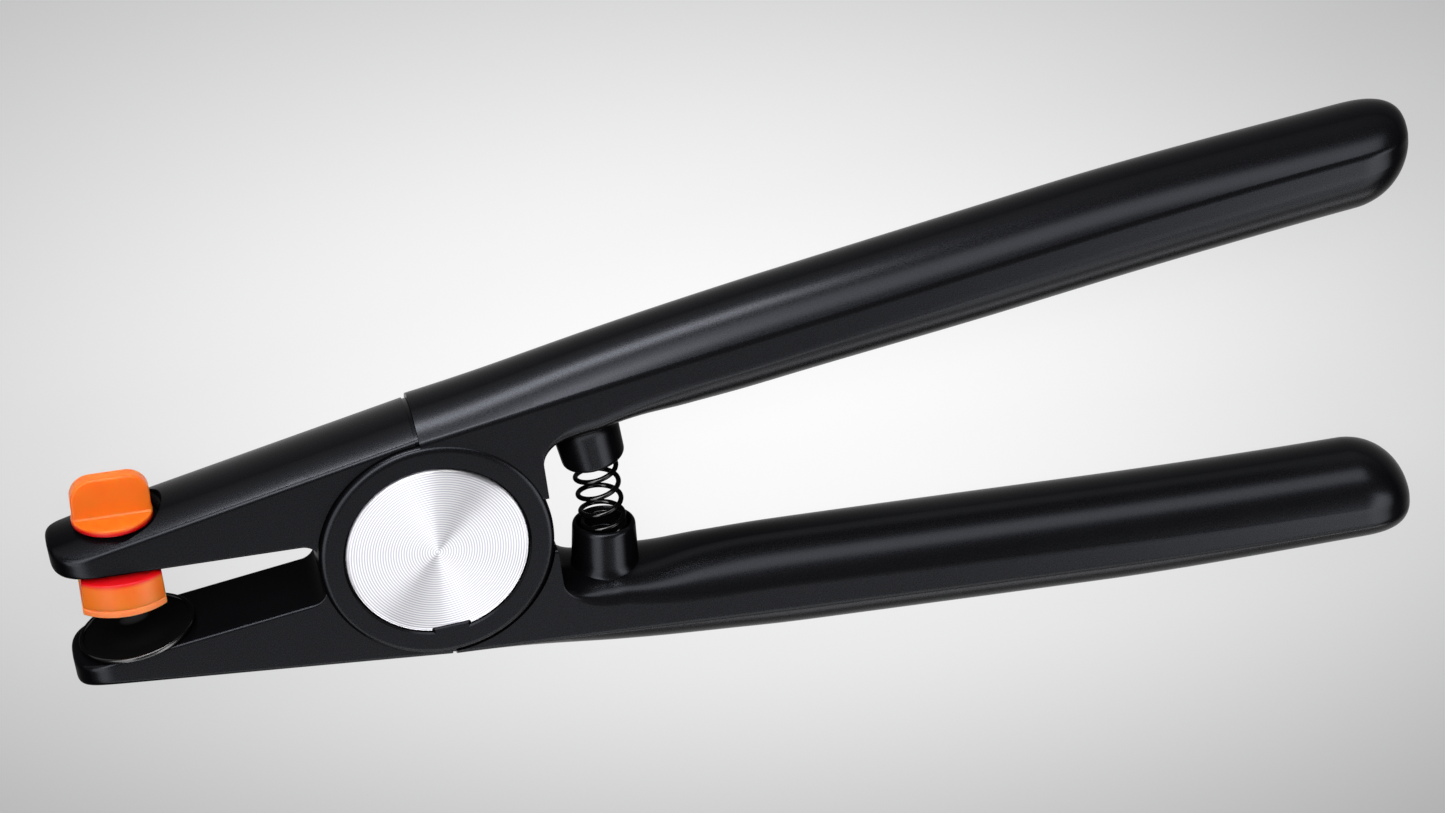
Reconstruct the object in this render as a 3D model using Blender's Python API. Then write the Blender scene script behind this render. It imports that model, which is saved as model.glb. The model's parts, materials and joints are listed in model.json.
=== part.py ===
"""Running pliers for scored glass: two crossing levers on a covered pivot, a sprung return and a
swivelling breaker head that presses the sheet into a soft dished pad.

The tool lies on its back. X runs from the jaws to the handles along the line between them, Y points
to the upper handle and Z rises out of the pivot. The origin is on the pivot axis, in the plane of the
back cover. Lengths in the functions are millimetres; SCALE turns them into metres.
"""

import math

import bmesh
import bpy
import numpy as np
from mathutils import Matrix, Vector

SCALE = 0.001
GAP = 0.3  # clearance kept between pieces that touch

# Hub and thickness
THICKNESS = 18.0  # over the two hub rings, and over the grips
MID = THICKNESS / 2
HUB_RADIUS = 19.0
HUB_CLEARANCE = 0.4  # between a hub and the other lever's limbs
HUB_FILLET = 0.8
LAP_GAP = 0.3  # between the two hubs at half thickness

# Jaws
JAW_THICKNESS = 16.0
JAW_TIP = -61.2
JAW_NOSE = 7.6  # length of the rounded end in plan
JAW_NOSE_POWER = 2.8  # squareness of the end: 2 would be an ellipse
JAW_SLOPE = 0.078  # inner faces spread towards the tips
JAW_INNER = 3.8  # inner face at the pivot, above or below the centre line
JAW_OUTER = 20.3
JAW_TAPER = 0.152
JAW_CROWN = 2.2  # rise of the arched outer face
JAW_CORNER = 1.2

# Handles
HANDLE_START = 0.2
UPPER_HANDLE_END = 170.7
LOWER_HANDLE_END = 168.3
HANDLE_ROUND = 10.5  # length over which the end closes
HANDLE_OUTER = 19.9
HANDLE_SPREAD = 0.1026
ROOT_THICKNESS = 17.2
GRIP_FROM = 60.0
GRIP_FULL = 95.0  # from here on the grip is as thick as the hub
WEB_EDGE = 19.4
WEB_LOW = 4.9
WEB_CORNER_HIGH = 10.8
WEB_CORNER_END = 29.0
INNER_AT_CORNER = 17.8
HOLLOW_START = 22.0  # the inner edge is square up to here, and fully arched from the next value on
HOLLOW_END = 38.0
INNER_SPREAD = 0.118

ARCH_STEPS = 10

# Spring posts and spring
POST_END = (28.6, 6.0)
POST_LEAN = math.radians(6.0)
POST_RADIUS = 5.25
SOCKET_RADIUS = 4.4
SOCKET_DEPTH = 3.6
SPRING_RADIUS = 3.5  # to the middle of the wire
SPRING_PHASE = math.radians(-54.0)
WIRE = 0.85
CLOSED_PITCH = 1.5
ACTIVE_TURNS = 3.6
POINTS_PER_TURN = 9

# Pivot stack
DISC_RADIUS = 15.0
DISC_THICKNESS = 1.0
NOTCH_WIDTH = 6.6
NOTCH_DEPTH = 1.1
BOLT_RADIUS = 4.0
HEAD_RADIUS = 6.8
HEAD_RECESS = 8.3
HEAD_FLOOR = 12.4
BUSH_RADIUS = 5.6
THRUST_RADIUS = 11.6

# Breaker head on the upper jaw, measured along its axis from the jaw's inner face
BREAKER_X = -50.5
RECESS_RADIUS = 7.4
RECESS_FLOOR = 5.6
KNOB_RADIUS = 6.6
KNOB_RIM = (6.4, 7.6)
WING_WIDTH = 12.8
WING_TOP = 14.3
WING_ROOT_THICKNESS = 3.6
WING_TOP_THICKNESS = 2.7
WING_CORNER = 3.6
STEM_RADIUS = 3.2
INSERT_RADIUS = 2.3
SCREW_RADIUS = 1.35
FOOT_TOP = -0.8
FACING_TOP = -5.5
FACING_BOTTOM = -6.75
FOOT_RADIUS = 9.6
FOOT_WIDTH = 13.0
LIP = 0.25

# Dished pad on the lower jaw, measured along its axis from the jaw's inner face
PAD_X = -50.0
PAD_RIM_RADIUS = 9.7
PAD_RIM = 0.8
PAD_HOLLOW = 0.7
PAD_BODY = 6.0
PAD_POCKET = 1.9
PAD_STEM = (2.2, 4.4)

BLACK = (0.012, 0.012, 0.013)
ORANGE = (0.92, 0.17, 0.012)
PALE_ORANGE = (0.93, 0.3, 0.09)


def clear_scene():
    for obj in list(bpy.data.objects):
        bpy.data.objects.remove(obj, do_unlink=True)


def material(name, colour, roughness, metallic=0.0):
    made = bpy.data.materials.new(name)
    made.use_nodes = True
    shader = made.node_tree.nodes["Principled BSDF"]
    shader.inputs["Base Color"].default_value = (*colour, 1.0)
    shader.inputs["Roughness"].default_value = roughness
    shader.inputs["Metallic"].default_value = metallic
    return made


def add_object(name, bm, paint=None, at=None):
    """The bmesh as a named object in the frame given by the matrix at, smooth except at its real edges."""
    bmesh.ops.recalc_face_normals(bm, faces=bm.faces)
    mesh = bpy.data.meshes.new(name)
    bmesh.ops.scale(bm, vec=(SCALE, SCALE, SCALE), verts=bm.verts)
    bm.to_mesh(mesh)
    bm.free()
    mesh.shade_smooth()
    mesh.set_sharp_from_angle(angle=math.radians(32))
    obj = bpy.data.objects.new(name, mesh)
    bpy.context.scene.collection.objects.link(obj)
    if paint:
        mesh.materials.append(paint)
    if at:
        obj.matrix_world = at
    return obj


def helper(obj):
    """Marks a cutter or a piece to be joined, which isn't part of the model by itself."""
    obj.hide_render = True
    obj.display_type = "WIRE"
    return obj


def combine(obj, other, operation):
    step = obj.modifiers.new(f"{operation.lower()} {other.name}", "BOOLEAN")
    step.operation = operation
    step.solver = "EXACT"
    step.object = helper(other)


def cut(obj, *cutters):
    for cutter in cutters:
        combine(obj, cutter, "DIFFERENCE")


def join(obj, *others):
    for other in others:
        combine(obj, other, "UNION")


def rings_to_bmesh(rings):
    """A closed body through equal rings of points, with flat ends."""
    bm = bmesh.new()
    loops = [[bm.verts.new(point) for point in ring] for ring in rings]
    count = len(loops[0])
    for low, high in zip(loops, loops[1:]):
        for i in range(count):
            j = (i + 1) % count
            bm.faces.new((low[i], low[j], high[j], high[i]))
    bm.faces.new(loops[0])
    bm.faces.new(loops[-1])
    return bm


def turned_bmesh(profile, segments):
    """A profile of (radius, height) points turned about Z. Points on the axis close the body."""
    bm = bmesh.new()
    rows = []
    for radius, height in profile:
        if radius < 1e-6:
            rows.append([bm.verts.new((0.0, 0.0, height))])
            continue
        angles = [math.tau * k / segments for k in range(segments)]
        rows.append([bm.verts.new((radius * math.cos(a), radius * math.sin(a), height)) for a in angles])
    closed = profile[0][0] > 1e-6
    pairs = list(zip(rows, rows[1:]))
    if closed:
        pairs.append((rows[-1], rows[0]))
    for low, high in pairs:
        for k in range(segments):
            n = (k + 1) % segments
            corners = [low[k % len(low)], low[n % len(low)], high[n % len(high)], high[k % len(high)]]
            face = list(dict.fromkeys(corners))
            if len(face) > 2:
                bm.faces.new(face)
    return bm


def prism_bmesh(outline, low, high):
    """An outline of (x, y) points carried from one height to another along Z."""
    return rings_to_bmesh([[(x, y, low) for x, y in outline], [(x, y, high) for x, y in outline]])


def arc(centre, radius, start, end, steps):
    """Points on an arc, angles in degrees."""
    angles = [math.radians(start + (end - start) * k / steps) for k in range(steps + 1)]
    return [(centre[0] + radius * math.cos(a), centre[1] + radius * math.sin(a)) for a in angles]


def ease(x, start, end):
    """0 before start, 1 after end, smooth between."""
    t = min(max((x - start) / (end - start), 0.0), 1.0)
    return t * t * (3 - 2 * t)


def crown(half, rise, steps):
    """Arched edge as (rise, offset) pairs from +half to -half: a circular arc, or a half ellipse where
    it stands taller than half the thickness."""
    if rise > half:
        turns = np.linspace(math.pi / 2, -math.pi / 2, steps + 1)
        return [(rise * math.cos(a), half * math.sin(a)) for a in turns]
    reach = 2 * math.atan2(rise, half)
    radius = half / math.sin(reach)
    turns = np.linspace(reach, -reach, steps + 1)
    return [(radius * (math.cos(a) - math.cos(reach)), radius * math.sin(a)) for a in turns]


def jaw_bmesh():
    """Lower jaw: flat inner face, flat sides, arched outer face, and an end that is round in plan."""
    half = JAW_THICKNESS / 2
    reach = 2 * math.atan2(JAW_CROWN, half)
    radius = half / math.sin(reach)
    nose = JAW_TIP + JAW_NOSE
    stations = []
    for u in np.sin(np.linspace(1.5, 0.0, 9)):
        stations.append((nose - JAW_NOSE * u, half * (1 - u**JAW_NOSE_POWER) ** (1 / JAW_NOSE_POWER)))
    stations += [(x, half) for x in np.linspace(nose, -HANDLE_START, 6)[1:]]
    rings = []
    for x, width in stations:
        offsets = width * np.sin(np.linspace(math.pi / 2, -math.pi / 2, ARCH_STEPS + 1))
        outer = -(JAW_OUTER + JAW_TAPER * x)
        inner = -JAW_INNER + JAW_SLOPE * x
        near_tip = max(JAW_TIP + JAW_CORNER - x, 0.0) / JAW_CORNER
        inner -= JAW_CORNER * (1 - math.sqrt(1 - min(near_tip, 1.0) ** 2))
        arch = [outer - math.sqrt(radius**2 - z * z) + radius * math.cos(reach) for z in offsets]
        ring = [(x, y, MID + z) for y, z in zip(arch, offsets)]
        ring += [(x, inner, MID + z) for z in offsets[::-1]]
        rings.append(ring)
    return rings_to_bmesh(rings)


def handle_section(x):
    """Outer and inner crease, half thickness, and the rise of the outer and inner arches at x."""
    bend = 0.0004 * max(x - 110.0, 0.0) ** 2
    outer = HANDLE_OUTER + HANDLE_SPREAD * x - bend
    inner = INNER_AT_CORNER + INNER_SPREAD * (x - WEB_CORNER_END) - bend
    half = (ROOT_THICKNESS + (THICKNESS - ROOT_THICKNESS) * ease(x, 20.0, GRIP_FULL)) / 2
    outer_rise = 2.8 + 2.95 * ease(x, 0.0, GRIP_FROM) - 0.95 * ease(x, 110.0, 165.0)
    swell = max(x - HOLLOW_END, 0.0) / (UPPER_HANDLE_END - HOLLOW_END)
    inner_rise = 0.4 + 5.75 * ease(x, HOLLOW_START, HOLLOW_END) + 3.0 * swell**0.8
    return outer, inner, half, outer_rise, inner_rise


def handle_ring(x, outer, inner, half, outer_rise, inner_rise):
    ring = [(x, outer + rise, MID + z) for rise, z in crown(half, outer_rise, ARCH_STEPS)]
    ring += [(x, inner - rise, MID + z) for rise, z in reversed(crown(half, inner_rise, ARCH_STEPS))]
    return ring


def handle_bmesh(end):
    """Upper handle: a web beside the hub, then a grip that is nearly round with flat sides."""
    rings = []
    for x in np.linspace(HANDLE_START, WEB_EDGE, 6):
        outer, _, half, outer_rise, _ = handle_section(x)
        rings.append(handle_ring(x, outer, WEB_LOW, half, outer_rise, 0.02))
    for turn in np.linspace(0.06, math.pi / 2, 8):
        x = WEB_CORNER_END - (WEB_CORNER_END - WEB_EDGE) * math.cos(turn)
        outer, _, half, outer_rise, inner_rise = handle_section(x)
        inner = WEB_CORNER_HIGH + (INNER_AT_CORNER - WEB_CORNER_HIGH) * math.sin(turn)
        rings.append(handle_ring(x, outer, inner, half, outer_rise, inner_rise))
    closing = end - HANDLE_ROUND
    for x in WEB_CORNER_END + (closing - WEB_CORNER_END) * np.linspace(0.0, 1.0, 17)[1:] ** 1.25:
        rings.append(handle_ring(x, *handle_section(x)))
    for u in np.sin(np.linspace(0.0, 1.45, 9)[1:]):
        outer, inner, half, outer_rise, inner_rise = handle_section(closing + HANDLE_ROUND * u)
        middle = (outer + inner) / 2
        blunt = (1 - u**3.2) ** (1 / 3.2)
        soft = math.sqrt(1 - u * u)
        side = (1 - u**2.4) ** (1 / 2.4)
        outer = middle + (outer - middle) * blunt
        inner = middle - (middle - inner) * soft
        x = closing + HANDLE_ROUND * u
        rings.append(handle_ring(x, outer, inner, half * side, outer_rise * blunt, inner_rise * soft))
    return rings_to_bmesh(rings)


def hub_bmesh():
    """Front half of the hub, with its outer edge rounded."""
    corner = arc((HUB_RADIUS - HUB_FILLET, THICKNESS - HUB_FILLET), HUB_FILLET, 0, 90, 4)
    low = MID + LAP_GAP / 2
    return turned_bmesh([(0, low), (HUB_RADIUS, low), *corner, (0, THICKNESS)], 72)


def post_matrix():
    """Frame at the free end of the upper handle's post, Z pointing into the handle."""
    inward = Vector((-math.sin(POST_LEAN), math.cos(POST_LEAN), 0.0))
    place = Vector((*POST_END, MID)) * SCALE
    return Matrix.Translation(place) @ inward.to_track_quat("Z", "X").to_matrix().to_4x4()


def post_bmesh():
    """Spring post: a tapering boss with a rounded lip and a small fillet at its root."""
    lip = arc((POST_RADIUS - 0.6, 0.6), 0.6, -90, 0, 3)
    fillet = arc((POST_RADIUS + 1.95, 9.2), 1.4, 180, 110, 4)
    return turned_bmesh([(0, 0), *lip, *fillet, (POST_RADIUS + 1.47, 12.0), (0, 12.0)], 36)


def disc_outline(grow=0.0):
    """Cover outline: a circle with a straight-sided key notch at the bottom."""
    radius = DISC_RADIUS + grow
    half = NOTCH_WIDTH / 2 - grow
    edge = math.degrees(math.asin(half / radius))
    floor = -(DISC_RADIUS - NOTCH_DEPTH) - grow
    return [*arc((0, 0), radius, -90 + edge, 270 - edge, 60), (-half, floor), (half, floor)]


def lever_blank(name, paint, handle_end, turn):
    """Jaw, half hub, handle and post in one body, which the matrix turn makes into either lever."""
    body = add_object(name, hub_bmesh(), paint)
    limbs = [
        add_object(f"{name} jaw", jaw_bmesh()),
        add_object(f"{name} handle", handle_bmesh(handle_end)),
        add_object(f"{name} post", post_bmesh(), at=post_matrix()),
    ]
    low = MID + LAP_GAP / 2
    sweep = HUB_RADIUS + HUB_CLEARANCE
    cutters = [
        add_object(f"{name} lap", turned_bmesh([(0, -2), (sweep, -2), (sweep, low), (0, low)], 72)),
        add_object(f"{name} cover recess", prism_bmesh(disc_outline(0.25), THICKNESS - 1.25, THICKNESS + 1)),
        add_object(f"{name} head recess", cylinder_bmesh(HEAD_RECESS, HEAD_FLOOR, THICKNESS - 1.0, 40)),
        add_object(f"{name} bush bore", cylinder_bmesh(BUSH_RADIUS + 0.25, MID - 1, HEAD_FLOOR + 1, 40)),
        add_object(f"{name} thrust pocket", cylinder_bmesh(THRUST_RADIUS + 0.4, MID - 1, MID + 0.8, 48)),
        add_object(f"{name} socket", cylinder_bmesh(SOCKET_RADIUS, -1, SOCKET_DEPTH, 32), at=post_matrix()),
    ]
    join(body, *limbs)
    cut(body, *cutters)
    for obj in (body, *limbs, *cutters):
        obj.matrix_world = turn @ obj.matrix_world
    return body


def flipped():
    """Half a turn about the tool's long centre line."""
    centre = Matrix.Translation((0, 0, MID * SCALE))
    return centre @ Matrix.Rotation(math.pi, 4, "X") @ centre.inverted()


def cylinder_bmesh(radius, low, high, segments):
    return turned_bmesh([(0, low), (radius, low), (radius, high), (0, high)], segments)


def washer_bmesh(inner, outer, low, high, segments):
    return turned_bmesh([(inner, low), (outer, low), (outer, high), (inner, high)], segments)


def hexagon_bmesh(radius, low, high):
    return prism_bmesh(arc((0, 0), radius, 0, 300, 5), low, high)


def jaw_matrix(side, x):
    """Frame on a jaw's inner face at x, with X along the jaw. Z goes up into the upper jaw (side 1) or
    up out of the lower jaw (side -1)."""
    up = Vector((JAW_SLOPE * side, 1.0, 0.0)).normalized()
    point = Vector((x, side * (JAW_INNER - JAW_SLOPE * x), MID)) * SCALE
    along = Vector((up.y, -up.x, 0.0))
    turn = Matrix((along, up.cross(along), up)).transposed().to_4x4()
    return Matrix.Translation(point) @ turn


def wing_outline(low, high):
    """Front view of the wing: straight sides and rounded upper corners, as (across, up) points."""
    half = WING_WIDTH / 2
    right = arc((half - WING_CORNER, high - WING_CORNER), WING_CORNER, 0, 90, 5)
    left = arc((-half + WING_CORNER, high - WING_CORNER), WING_CORNER, 90, 180, 5)
    return [(-half, low), (half, low), *right, *left]


def wing_bmesh(low, high):
    """Wing of the knob, thinner at the top than at the root."""
    rings = []
    for side in (-0.5, 0.5):
        ring = []
        for across, up in wing_outline(low, high):
            share = (up - low) / (high - low)
            thickness = WING_ROOT_THICKNESS + (WING_TOP_THICKNESS - WING_ROOT_THICKNESS) * share
            ring.append((across, side * thickness, up))
        rings.append(ring)
    return rings_to_bmesh(rings)


def knob_objects(frame, paint, brass):
    """Thumb knob: a flat disc with a wing across it, and a hollow stem down through the jaw that holds
    a threaded insert."""
    low, high = KNOB_RIM
    stem_end = FOOT_TOP - 1.9
    bore = INSERT_RADIUS + 0.25
    bore_top = low - 1.8
    profile = [(0, bore_top), (bore, bore_top), (bore, stem_end), (STEM_RADIUS, stem_end), (STEM_RADIUS, low)]
    profile += [(KNOB_RADIUS - 0.2, low), (KNOB_RADIUS, low + 0.2), (KNOB_RADIUS, high - 0.25)]
    profile += [(KNOB_RADIUS - 0.25, high), (0, high)]
    knob = add_object("breaker_knob", turned_bmesh(profile, 40), paint, frame)
    join(knob, add_object("knob wing", wing_bmesh(high - 0.6, WING_TOP), at=frame))
    insert = washer_bmesh(SCREW_RADIUS + 0.25, INSERT_RADIUS, stem_end + 0.2, bore_top - 0.3, 28)
    add_object("knob_thread_insert", insert, brass, frame)


def foot_outline(grow=0.0):
    """A disc with two sides cut straight, seen along the axis."""
    half = FOOT_WIDTH / 2 + grow
    radius = FOOT_RADIUS + grow
    edge = math.degrees(math.acos(half / radius))
    return arc((0, 0), radius, edge, 180 - edge, 10) + arc((0, 0), radius, 180 + edge, 360 - edge, 10)


def foot_rings(levels):
    return [[(x, y, z) for x, y in foot_outline(grow)] for z, grow in levels]


def foot_objects(frame, paint, facing_paint):
    """Pressing foot with a socket for the stem, and the slightly wider facing under it. The screw head
    lies in a recess that goes through the facing."""
    foot = add_object("breaker_foot", rings_to_bmesh(foot_rings([(FOOT_TOP, 0), (FACING_TOP + 0.2, 0)])), paint, frame)
    socket = cylinder_bmesh(STEM_RADIUS + 0.25, FOOT_TOP - 2.2, FOOT_TOP + 1, 32)
    hole = SCREW_RADIUS + 0.3
    recess_top = FACING_BOTTOM + 1.9
    profile = [(0, FACING_BOTTOM - 1), (3.1, FACING_BOTTOM - 1), (3.1, recess_top), (hole, recess_top)]
    way = turned_bmesh([*profile, (hole, FOOT_TOP - 1), (0, FOOT_TOP - 1)], 28)
    screw_way = add_object("screw way", way, at=frame)
    cut(foot, add_object("stem socket", socket, at=frame), screw_way)
    levels = [(FACING_TOP, LIP - 0.15), (FACING_TOP - 0.15, LIP), (FACING_BOTTOM + 0.15, LIP)]
    rings = foot_rings([*levels, (FACING_BOTTOM, LIP - 0.15)])
    facing = add_object("foot_facing", rings_to_bmesh(rings), facing_paint, frame)
    cut(facing, screw_way)


def breaker_hardware(frame, steel, nylon):
    """Screw that holds the foot to the stem, and the two thin rings the head turns on."""
    head = FACING_BOTTOM + 0.3
    tip = KNOB_RIM[0] - 2.5
    shank = SCREW_RADIUS
    profile = [(0, head), (2.8, head), (2.8, head + 1.3), (shank, head + 1.3), (shank, tip), (0, tip)]
    add_object("breaker_screw", turned_bmesh(profile, 28), steel, frame)
    bore = STEM_RADIUS + 0.45
    upper = washer_bmesh(bore, 5.4, RECESS_FLOOR + 0.2, KNOB_RIM[0] - 0.2, 32)
    lower = washer_bmesh(bore, 6.0, FOOT_TOP + 0.2, -0.2, 32)
    add_object("knob_friction_washer", upper, steel, frame)
    add_object("foot_washer", lower, nylon, frame)


def pad_object(frame, rubber):
    """Dished pad: a thin flared lip, a shallow hollow, a body let into the jaw and a plug under it."""
    plug, depth = PAD_STEM
    rim = PAD_RIM_RADIUS
    hollow = (rim * rim + PAD_HOLLOW**2) / (2 * PAD_HOLLOW)
    dish = []
    for radius in np.linspace(rim - 0.3, 0.0, 7):
        dish.append((radius, PAD_RIM - PAD_HOLLOW + hollow - math.sqrt(hollow**2 - radius**2)))
    under = [(0, -depth), (plug, -depth), (plug, -PAD_POCKET + 0.25), (PAD_BODY, -PAD_POCKET + 0.25)]
    under += [(PAD_BODY, 0.1), (PAD_BODY + 1.0, 0.2), (rim - 0.5, 0.4), (rim, PAD_RIM - 0.12), (rim - 0.15, PAD_RIM)]
    add_object("rubber_pad", turned_bmesh(under + dish, 40), rubber, frame)


def spring_points():
    """Wire of the return spring along Y, wound right-handed: closed end turns, open middle turns, and both
    tails turned to run straight into their sockets."""
    seat = POST_END[1] + SOCKET_DEPTH - GAP - 0.45
    bend = 1.1
    tail = WIRE + bend
    level = seat - tail
    open_rise = 2 * (level - CLOSED_PITCH)
    turns = ACTIVE_TURNS + 2
    steps = round(turns * POINTS_PER_TURN)
    turn = np.linspace(0.0, turns, steps + 1)
    rise = np.interp(turn, (0, 1, turns - 1, turns), (0, CLOSED_PITCH, CLOSED_PITCH + open_rise, 2 * level))
    points = list(zip(math.tau * turn, rise - level))
    slope = math.atan2(CLOSED_PITCH, math.tau * SPRING_RADIUS)
    angles = np.linspace(slope, math.pi / 2, 6)[1:]
    foot = []
    for a in angles:
        along = bend * (math.sin(a) - math.sin(slope)) / SPRING_RADIUS
        drop = bend * (math.cos(slope) - math.cos(a))
        foot.append((along, drop))
    first = [(-along, -level - drop) for along, drop in foot]
    last = [(math.tau * turns + along, level + drop) for along, drop in foot]
    first.append((first[-1][0], first[-1][1] - WIRE))
    last.append((last[-1][0], last[-1][1] + WIRE))
    route = [(a + SPRING_PHASE, y) for a, y in first[::-1] + points + last]
    return [(SPRING_RADIUS * math.cos(a), y, -SPRING_RADIUS * math.sin(a)) for a, y in route]


def least_gap(points, wire):
    """Smallest clear distance between parts of the wire that are more than half a turn apart."""
    fine = np.array(points)
    fine = np.concatenate([fine[:-1] + (fine[1:] - fine[:-1]) * f for f in (0.0, 0.25, 0.5, 0.75)], axis=1)
    fine = fine.reshape(-1, 3)
    apart = np.linalg.norm(fine[:, None] - fine[None], axis=2)
    index = np.arange(len(fine))
    far = np.abs(index[:, None] - index[None]) > 2 * POINTS_PER_TURN
    return apart[far].min() - wire


def spring_object(steel):
    centre = Vector((POST_END[0] - 0.06, 0.0, MID))
    points = spring_points()
    print(f"return spring: least gap to itself {least_gap(points, WIRE):.2f} mm")
    data = bpy.data.curves.new("return_spring", "CURVE")
    data.dimensions = "3D"
    data.bevel_depth = WIRE / 2 * SCALE
    data.bevel_resolution = 1
    data.use_fill_caps = True
    line = data.splines.new("POLY")
    line.points.add(len(points) - 1)
    for spot, point in zip(line.points, points):
        spot.co = (*((centre + Vector(point)) * SCALE), 1.0)
    line.use_smooth = True
    data.materials.append(steel)
    obj = bpy.data.objects.new("return_spring", data)
    bpy.context.scene.collection.objects.link(obj)
    return obj


def pivot_objects(aluminium, steel, bronze, nylon):
    """Bolt, nut, washers, bushes and the two cover discs, all on the pivot axis."""
    for name, turn in (("front_cover_disc", Matrix.Identity(4)), ("back_cover_disc", flipped())):
        top = THICKNESS
        outline = prism_bmesh(disc_outline(), top - DISC_THICKNESS, top)
        disc = add_object(name, outline, aluminium)
        disc.matrix_world = turn
    floor = HEAD_FLOOR
    back = THICKNESS - HEAD_FLOOR
    bolt = add_object("pivot_bolt", hexagon_bmesh(HEAD_RADIUS, floor + 1.5, floor + 4.0), steel)
    shank = add_object("bolt shank", cylinder_bmesh(BOLT_RADIUS, back - 3.9, floor + 2.0, 36))
    join(bolt, shank)
    nut = add_object("pivot_nut", hexagon_bmesh(HEAD_RADIUS, back - 3.7, back - 1.5), steel)
    cut(nut, add_object("nut bore", cylinder_bmesh(BOLT_RADIUS + 0.25, back - 5, back, 36)))
    inner = BOLT_RADIUS + 0.25
    add_object("bolt_washer", washer_bmesh(inner, 7.6, floor + 0.25, floor + 1.25, 40), steel)
    add_object("nut_washer", washer_bmesh(inner, 7.6, back - 1.25, back - 0.25, 40), steel)
    add_object("front_bush", washer_bmesh(inner, BUSH_RADIUS, MID + 0.9, floor, 40), bronze)
    add_object("back_bush", washer_bmesh(inner, BUSH_RADIUS, back, MID - 0.9, 40), bronze)
    add_object("hub_thrust_washer", washer_bmesh(inner, THRUST_RADIUS, MID - 0.5, MID + 0.5, 48), nylon)


def build():
    clear_scene()
    black = material("satin black", BLACK, 0.42)
    orange = material("orange plastic", ORANGE, 0.38)
    pale_orange = material("pale orange facing", PALE_ORANGE, 0.5)
    brass = material("insert brass", (0.62, 0.42, 0.14), 0.35, 1.0)
    aluminium = material("spun aluminium", (0.82, 0.82, 0.84), 0.28, 1.0)
    steel = material("bright steel", (0.55, 0.55, 0.57), 0.32, 1.0)
    wire = material("blackened spring steel", (0.02, 0.02, 0.022), 0.35, 0.8)
    bronze = material("bush bronze", (0.55, 0.36, 0.16), 0.4, 1.0)
    nylon = material("white nylon", (0.75, 0.74, 0.7), 0.5)
    rubber = material("black rubber", (0.015, 0.015, 0.015), 0.6)

    pad_frame = jaw_matrix(-1, PAD_X)
    lower = lever_blank("lower_jaw_lever", black, UPPER_HANDLE_END, Matrix.Identity(4))
    plug, depth = PAD_STEM
    seat = PAD_BODY + 0.3
    profile = [(0, -depth - 0.3), (plug + 0.25, -depth - 0.3), (plug + 0.25, -PAD_POCKET), (seat, -PAD_POCKET)]
    pocket = turned_bmesh([*profile, (seat, 2.0), (0, 2.0)], 40)
    cut(lower, add_object("pad pocket", pocket, at=pad_frame))

    breaker_frame = jaw_matrix(1, BREAKER_X)
    upper = lever_blank("upper_jaw_lever", black, LOWER_HANDLE_END, flipped())
    recess = cylinder_bmesh(RECESS_RADIUS, RECESS_FLOOR, RECESS_FLOOR + 6, 48)
    bore = cylinder_bmesh(STEM_RADIUS + 0.3, -3, RECESS_FLOOR + 1, 36)
    cut(upper, add_object("knob recess", recess, at=breaker_frame))
    cut(upper, add_object("stem bore", bore, at=breaker_frame))

    pivot_objects(aluminium, steel, bronze, nylon)
    knob_objects(breaker_frame, orange, brass)
    foot_objects(breaker_frame, orange, pale_orange)
    breaker_hardware(breaker_frame, steel, nylon)
    pad_object(pad_frame, rubber)
    spring_object(wire)


build()
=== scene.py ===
# %% [markdown]
# # Running pliers for scored glass
# These pliers snap a sheet of glass along a scored line: a winged head on the upper jaw presses the sheet
# into a dished pad on the lower jaw. The CAD model gives every size and every joint, and this lesson dresses
# it. All new surfaces are worked out in the CAD's own frame, where the tool lies on its back, X runs from the
# jaws to the handles, Y points to the upper handle and Z rises out of the pivot, so nothing has to be fitted.

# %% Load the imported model
import json
import math

import bmesh
import bpy
import numpy as np
from mathutils import Matrix, Vector


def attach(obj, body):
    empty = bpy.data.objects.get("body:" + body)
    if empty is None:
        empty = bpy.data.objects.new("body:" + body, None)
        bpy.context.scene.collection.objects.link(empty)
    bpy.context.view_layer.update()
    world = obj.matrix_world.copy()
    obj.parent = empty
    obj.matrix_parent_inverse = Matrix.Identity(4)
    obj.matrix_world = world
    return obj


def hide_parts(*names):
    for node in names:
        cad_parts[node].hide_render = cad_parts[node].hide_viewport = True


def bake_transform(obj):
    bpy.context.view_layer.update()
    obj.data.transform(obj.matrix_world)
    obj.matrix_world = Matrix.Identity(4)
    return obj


MM = 0.001
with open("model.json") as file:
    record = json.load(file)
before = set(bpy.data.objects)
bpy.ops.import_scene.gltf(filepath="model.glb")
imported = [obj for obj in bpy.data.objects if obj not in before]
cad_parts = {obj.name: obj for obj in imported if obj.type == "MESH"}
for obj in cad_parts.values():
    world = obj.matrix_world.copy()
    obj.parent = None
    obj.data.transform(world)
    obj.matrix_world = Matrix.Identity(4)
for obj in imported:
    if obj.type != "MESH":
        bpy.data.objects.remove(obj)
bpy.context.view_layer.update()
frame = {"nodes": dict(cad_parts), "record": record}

# %% [markdown]
# ## Camera
# The tool is seen from about 0.67 m away through a long lens, so its edges hardly converge. A camera matrix is
# three directions and a place: the columns below point to the picture's right, its top and back to the viewer.
# Writing them out is steadier than a look-at constraint, because the picture's upright is not the floor's.

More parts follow.
